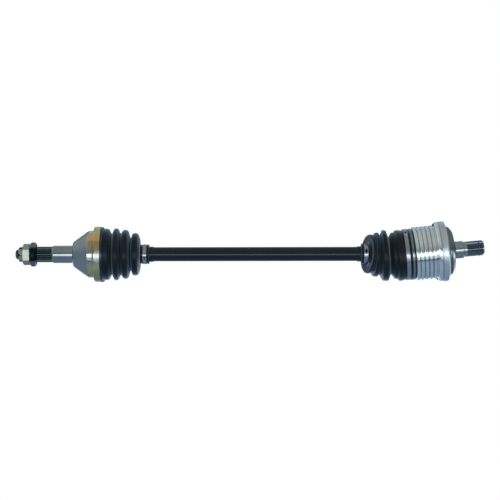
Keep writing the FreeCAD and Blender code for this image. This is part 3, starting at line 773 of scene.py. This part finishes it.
def boot_centre(x):
    """Point in millimetres on the slack gearbox boot's centre line, x from its cuff's end."""
    x_here = INNER_BOOT_START + x
    drop = (INNER_CENTRE.x / MM - x_here) * math.tan(TILT)
    return Vector((x_here, 0, -drop * blend_share(x, *SAG_ZONE_MM)))


def boot_lean(x):
    """How far the slack boot's rings lean out of square. They square up again at the cup."""
    to_cup = blend_share(x, *PITCH_ZONE_MM)
    pitch = (1 - to_cup) * FOLD_PITCH - to_cup * TILT
    yaw = (1 - blend_share(x, *YAW_ZONE_MM)) * FOLD_YAW
    return pitch, yaw


def leaning(pitch, yaw):
    return Matrix.Rotation(pitch, 3, "Y") @ Matrix.Rotation(yaw, 3, "Z")


def on_bent_boot(x, r, angle):
    """Place of a point of the slack gearbox boot, whose narrow cuff stays square on the bar."""
    share = blend_share(r, *LEAN_ZONE_R_MM)
    pitch, yaw = boot_lean(x)
    spin = leaning(pitch * share, yaw * share)
    return (boot_centre(x) + spin @ ring_point(0, r, angle)) * MM


def build_inner_boot(rubber):
    """Lobe at the bar, five lengths between the cuts, and the cup's cuff."""
    outline = rounded(INNER_BOOT_CORNERS)
    place = with_seam(on_bent_boot)
    first = shell_section("inner_boot_bar_cuff", outline, 0.0, INNER_CUTS_MM[0], place)
    dress(first, rubber)
    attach(first, "shaft")
    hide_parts("inner_boot")
    for index, (before, after) in enumerate(INNER_MARGINS_MM):
        low, high = INNER_CUTS_MM[index : index + 2]
        section = shell_section(f"inner_boot_fold_{index + 1}", outline, low, high, place)
        dress(section, rubber)
        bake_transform(section)
    cuff_line = rounded(CUP_CUFF_CORNERS, CUP_CUFF_STEP_MM)
    cuff_loop = [tuple(p) for p in cuff_line]
    cuff = ring_mesh("inner_boot_cuff", cuff_loop, even_angles(BOOT_SIDES), on_cup)
    sharpen(cuff, CUP_CUFF_SHARP_DEG)
    dress(cuff, rubber)
    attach(cuff, "gearbox_cup")


# ------------------------------------------------------------------ clamps
BAND_START = math.radians(-26)
BAND_RISE = math.radians(322)
BAND_STEP_UP = math.radians(9)
BAND_TAIL = math.radians(24)
BAND_STEP_MM = 0.7
LAYER_GAP_MM = 0.06
EAR_FLAT_SHARE = 0.035
EAR_STEP_MM = 0.35
TAIL_STEPS = 12
EDGE_INSET = 0.3
EDGE_LIFT = 0.8
NARROWEST_WINDOW = 0.2
NO_WINDOW_MM = 0.3
STRAP_SHARP_DEG = 40


def strap_section(width, thickness, window):
    """Section of a steel band with rounded edges, with points at a window's two sides."""
    half, edge = width / 2, thickness / 2
    side = [
        (-half, 0),
        (-half + edge * EDGE_INSET, -edge * EDGE_LIFT),
        (-half + edge, -edge),
        (-window, -edge),
    ]
    under = side + [(-x, y) for x, y in reversed(side[1:])]
    return under + [(half, 0)] + [(x, -y) for x, y in reversed(under[1:])]


def window_half(turn_mm, windows):
    """Half width of the window at a place along the band, and whether there is one."""
    for centre, half_length, half_width in windows:
        t = (turn_mm - centre) / half_length
        if abs(t) <= 1:
            return half_width * max(math.sqrt(1 - t * t), NARROWEST_WINDOW), True
    return NO_WINDOW_MM, False


def round_turn(angle):
    """The same angle between minus half a turn and half a turn."""
    return (angle + math.pi) % FULL_TURN - math.pi


def strap(name, path, width, thickness, x_middle, place, windows=()):
    """Bent steel band along a path of (angle, radius) points.

    Its oval windows are (place from the ear, half length, half width) in millimetres.
    """
    flat = [Vector((r * math.sin(angle), r * math.cos(angle))) for angle, r in path]
    first_angle, radius = path[0]
    builder = bmesh.new()
    rings = []
    for i, here in enumerate(flat):
        along = (flat[min(i + 1, len(flat) - 1)] - flat[max(i - 1, 0)]).normalized()
        normal = Vector((-along.y, along.x))
        from_ear = path[i][0] - first_angle + BAND_START
        half, open_here = window_half(round_turn(from_ear) * radius, windows)
        ring = []
        for x, lift in strap_section(width, thickness, half):
            point = here + normal * lift
            spot = place(x_middle + x, point.length, math.atan2(point.x, point.y))
            ring.append(builder.verts.new(spot))
        rings.append((ring, open_here))
    count = len(rings[0][0])
    # Points of a section at the window's sides, on its lower and its upper face.
    low_left, low_right, high_right, high_left = 3, 4, 10, 11
    for (first, open_first), (second, open_second) in zip(rings, rings[1:]):
        is_open = open_first and open_second
        for k in range(count):
            if is_open and k in (low_left, high_right):
                continue
            following = (k + 1) % count
            builder.faces.new((first[k], second[k], second[following], first[following]))
        if is_open:
            for a, b in ((low_left, high_left), (high_right, low_right)):
                builder.faces.new((first[a], second[a], second[b], first[b]))
    for (before, open_before), (here, open_here) in zip(rings, rings[1:]):
        if open_before != open_here:
            edge = here if open_here else before
            builder.faces.new([edge[k] for k in (low_left, low_right, high_right, high_left)])
    builder.faces.new(rings[0][0])
    builder.faces.new(rings[-1][0][::-1])
    bmesh.ops.recalc_face_normals(builder, faces=builder.faces)
    piece = smooth_object(name, builder)
    sharpen(piece, STRAP_SHARP_DEG)
    return piece


def eared_path(radius, ear_angle, ear_height, ear_width, thickness, dimple=0.0):
    """Band that starts under its own ear, runs round, steps up and ends in a tail past the ear."""
    gap = thickness + LAYER_GAP_MM
    stepped = BAND_RISE + BAND_STEP_UP
    path = []
    count = int(FULL_TURN * radius / BAND_STEP_MM)
    for k in range(count + 1):
        turn = BAND_START + (stepped - BAND_START) * k / count
        path.append((ear_angle + turn, radius + gap * blend_share(turn, BAND_RISE, stepped)))
    neck, crown = ear_width * 0.36, ear_width * 0.52
    foot_r, shoulder_r, dimple_r = ear_width * 0.16, ear_width * 0.22, ear_width * 0.3
    flat = FULL_TURN * radius * EAR_FLAT_SHARE
    ear = rounded(
        [
            (-flat, 0),
            (-neck, 0, foot_r),
            (-crown, ear_height, shoulder_r),
            (0, ear_height - dimple, dimple_r),
            (crown, ear_height, shoulder_r),
            (neck, 0, foot_r),
            (flat, 0),
        ],
        EAR_STEP_MM,
    )
    ear_turn = ear_angle + FULL_TURN
    path += [(ear_turn + p.x / radius, radius + gap + p.y) for p in ear]
    tail_start = flat / radius
    for k in range(1, TAIL_STEPS + 1):
        turn = tail_start + (BAND_TAIL - tail_start) * k / TAIL_STEPS
        path.append((ear_turn + turn, radius + gap))
    return path


INNER_SMALL_SHIFT_MM = 0.5
INNER_LARGE_R_MM = 40.85


def build_clamps(bright, black):
    """The four boot clamps, each a crimped band with its own joint."""
    left_x, left_r = band_of("outer_boot_clamp_small")
    outer_small = strap(
        "outer_small_band",
        eared_path(
            radius=left_r - 0.1,
            ear_angle=math.radians(110),
            ear_height=2.4,
            ear_width=6.0,
            thickness=0.7,
            dimple=0.8,
        ),
        width=6.2,
        thickness=0.7,
        x_middle=left_x,
        place=on_bar,
        windows=[(0.0, 1.9, 1.5)],
    )
    right_x, right_r = band_of("inner_boot_clamp_small")
    inner_small = strap(
        "inner_small_band",
        eared_path(
            radius=right_r - 0.35,
            ear_angle=math.radians(75),
            ear_height=2.4,
            ear_width=8.0,
            thickness=0.7,
            dimple=0.8,
        ),
        width=6.6,
        thickness=0.7,
        x_middle=right_x + INNER_SMALL_SHIFT_MM,
        place=on_bar,
        windows=[(0.0, 3.3, 2.0)],
    )
    low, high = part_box("inner_boot_clamp_large")
    inner_large = strap(
        "inner_large_band",
        eared_path(
            radius=INNER_LARGE_R_MM,
            ear_angle=math.radians(36),
            ear_height=3.4,
            ear_width=8.0,
            thickness=0.9,
            dimple=1.2,
        ),
        width=6.4,
        thickness=0.9,
        x_middle=((Vector(low) + Vector(high)) / 2 - INNER_CENTRE).dot(CUP_AXIS) / MM,
        place=on_cup,
        windows=[(-9.0, 1.9, 1.7), (0.0, 2.2, 1.8)],
    )
    rim_x, rim_r = band_of("outer_boot_clamp_large")
    outer_large = strap(
        "outer_large_band",
        eared_path(
            radius=rim_r - 0.75,
            ear_angle=math.radians(205),
            ear_height=2.4,
            ear_width=8.0,
            thickness=0.8,
        ),
        width=3.4,
        thickness=0.8,
        x_middle=rim_x,
        place=on_bar,
    )
    for piece, node, body, finish, slot_name in (
        (outer_small, "outer_boot_clamp_small", "shaft", bright, "clamp_steel"),
        (inner_small, "inner_boot_clamp_small", "shaft", bright, "clamp_steel"),
        (inner_large, "inner_boot_clamp_large", "gearbox_cup", bright, "clamp_steel"),
        (outer_large, "outer_boot_clamp_large", "wheel_stub", black, "clamp_black"),
    ):
        dress(piece, finish)
        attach(piece, body)
        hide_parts(node)


# ------------------------------------------------------------------ camera, light and stage
SENSOR_WIDTH_MM = 36.0
LENS_MM = 115.2
CAMERA_DISTANCE = 2.608
CAMERA_ABOVE_BAR = 0.0067
CAMERA_LEVEL_DEG = 90
CAMERA_ROLL_DEG = 0.1
SEE_TO = 30.0


def build_camera():
    """Level view from the side, far enough back to draw the rings nearly edge on."""
    data = bpy.data.cameras.new("camera")
    data.sensor_width = SENSOR_WIDTH_MM
    data.lens = LENS_MM
    data.clip_end = SEE_TO
    camera = add_object("camera", data)
    middle = (CAD_LOW + CAD_HIGH) / 2
    camera.location = (middle.x, -CAMERA_DISTANCE, CAMERA_ABOVE_BAR)
    camera.rotation_euler = (math.radians(CAMERA_LEVEL_DEG), math.radians(CAMERA_ROLL_DEG), 0)
    bpy.context.scene.camera = camera


def area_light(name, location, target, size, power, colour):
    data = bpy.data.lights.new(name, "AREA")
    data.shape = "RECTANGLE"
    data.size, data.size_y = size
    data.energy = power
    data.color = colour
    light = add_object(name, data)
    light.location = location
    direction = Vector(target) - Vector(location)
    light.rotation_euler = direction.to_track_quat("-Z", "Y").to_euler()
    light.visible_camera = False


def build_lights():
    """Long strips in front for the highlights, a card at the gearbox end, and weak back lights."""
    middle, cap = (0, 0, 0), (0.35, 0, 0)
    white, ice, cyan = (0.96, 0.99, 1.0), (0.84, 0.94, 1.0), (0.80, 0.95, 1.0)
    high_blue, low_blue = (0.50, 0.78, 1.0), (0.55, 0.80, 1.0)
    # Name, place, target, width and height, watts, colour.
    for light in (
        ("front_strip", (0, -1.6, -0.17), middle, (4.4, 0.44), 18.5, white),
        ("front_strip_low", (0, -1.6, -0.66), middle, (4.4, 0.48), 5.5, ice),
        ("side_card", (1.7, 0.34, -0.10), cap, (0.9, 0.34), 4.4, cyan),
        ("back_board_high", (0, 0.75, 0.45), middle, (0.9, 0.6), 0.5, high_blue),
        ("back_board_low", (0, 0.75, -0.45), middle, (0.9, 0.6), 0.6, low_blue),
        ("back_strip", (0, 1.6, -0.42), middle, (4.4, 0.5), 7.0, white),
    ):
        area_light(*light)


def build_world():
    """Soft studio surround: warm grey above, blue grey below, pale at the sides, dark behind."""
    world = bpy.data.worlds.new("studio")
    world.use_nodes = True
    tree = world.node_tree
    tree.nodes.clear()
    output = tree.nodes.new("ShaderNodeOutputWorld")
    background = tree.nodes.new("ShaderNodeBackground")
    direction = tree.nodes.new("ShaderNodeTexCoord").outputs["Generated"]
    height = remap(tree, component(tree, direction, "Z"), -1.0, 1.0)
    warm, blue = (0.48, 0.49, 0.45), (0.29, 0.39, 0.52)
    front = ramp(
        tree,
        height,
        [
            (0.0, blue),
            (0.20, blue),
            (0.23, (0.05, 0.06, 0.08)),
            (0.50, (0.10, 0.105, 0.11)),
            (0.56, (0.22, 0.23, 0.22)),
            (0.74, warm),
            (1.0, warm),
        ],
    )
    behind = ramp(
        tree,
        height,
        [
            (0.0, blue),
            (0.22, (0.18, 0.24, 0.33)),
            (0.46, 0.03),
            (0.54, 0.03),
            (0.80, (0.32, 0.40, 0.46)),
            (1.0, warm),
        ],
    )
    sides = ramp(
        tree,
        height,
        [
            (0.0, blue),
            (0.20, (0.33, 0.41, 0.53)),
            (0.44, (0.29, 0.37, 0.42)),
            (0.56, (0.29, 0.36, 0.40)),
            (0.80, (0.62, 0.68, 0.72)),
            (1.0, (0.62, 0.66, 0.66)),
        ],
    )
    backward = remap(tree, component(tree, direction, "Y"), -0.1, 0.6)
    around = mixed(tree, backward, front, behind)
    width = calculated(tree, "ABSOLUTE", component(tree, direction, "X"))
    sideways = remap(tree, width, 0.25, 0.75)
    tree.links.new(mixed(tree, sideways, around, sides), background.inputs["Color"])
    background.inputs["Strength"].default_value = 1.0
    tree.links.new(background.outputs["Background"], output.inputs["Surface"])
    bpy.context.scene.world = world


FLOOR_Z = -0.42
WALL_R = 6.0
WALL_TOP_Z = 6.0
SWEEP_BEND_R = 1.5
SWEEP_BEND_STEPS = 8
SWEEP_SIDES = 48
PINHOLE_R = 0.00005


def on_sweep(r, z, angle):
    return Vector((r * math.cos(angle), r * math.sin(angle), z))


def build_stage():
    """Pale floor that sweeps up into a backdrop all round, seen only by the camera."""
    flat_r = WALL_R - SWEEP_BEND_R
    line = [(PINHOLE_R, FLOOR_Z), (flat_r, FLOOR_Z)]
    for k in range(1, SWEEP_BEND_STEPS + 1):
        angle = math.pi / 2 * k / SWEEP_BEND_STEPS
        rise = SWEEP_BEND_R * (1 - math.cos(angle))
        line.append((flat_r + SWEEP_BEND_R * math.sin(angle), FLOOR_Z + rise))
    line += [(WALL_R, WALL_TOP_Z), (PINHOLE_R, WALL_TOP_Z)]
    sweep = ring_mesh("floor_sweep", line, even_angles(SWEEP_SIDES), on_sweep, closed=False)
    sweep.data.materials.append(emission_for_camera("pale_floor", (1.0, 1.0, 1.0), 1.0))
    for flag in ("visible_diffuse", "visible_glossy", "visible_transmission", "visible_shadow"):
        setattr(sweep, flag, False)


# ------------------------------------------------------------------ finishes of the CAD pieces
def finish_cad_nodes():
    """Gives each CAD piece its finish. Pieces not named here are bearing steel or bright balls."""
    steel = plain_metal("bearing_steel", (0.50, 0.50, 0.51), (0.36, 0.36, 0.37), (0.22, 0.34))
    chrome = plain_metal("polished_ball", (0.74, 0.74, 0.76), (0.66, 0.66, 0.68), (0.06, 0.12))
    wire = plain_metal("blued_wire", (0.16, 0.18, 0.22), (0.09, 0.10, 0.12), (0.28, 0.42))
    zinc = plain_metal(
        "yellow_zinc",
        (0.40, 0.45, 0.38),
        (0.32, 0.37, 0.30),
        (0.34, 0.44),
        grain_scale=320.0,
        bump_mm=0.004,
    )
    finishes = {
        "drive_shaft": black_paint(),
        "outer_housing": bell_steel(),
        "inner_housing": cup_steel(),
        "axle_nut": zinc,
        "axle_washer": black_oxide(),
        "outer_race_clip": wire,
        "inner_race_clip": wire,
        "inner_stop_ring": wire,
        "gearbox_stub_clip": wire,
    }
    for name, node in frame["nodes"].items():
        default = chrome if "ball" in name else steel
        node.data.materials.clear()
        node.data.materials.append(finishes.get(name, default))


bpy.context.scene.view_settings.view_transform = "Standard"
rubber = boot_rubber()
build_outer_boot(rubber)
build_inner_boot(rubber)
build_clamps(
    plain_metal("bright_band", (0.40, 0.42, 0.46), (0.26, 0.27, 0.30), (0.16, 0.30)),
    plain_metal("black_band", (0.055, 0.085, 0.130), (0.022, 0.034, 0.050), (0.24, 0.36)),
)
finish_cad_nodes()
build_camera()
build_lights()
build_world()
build_stage()
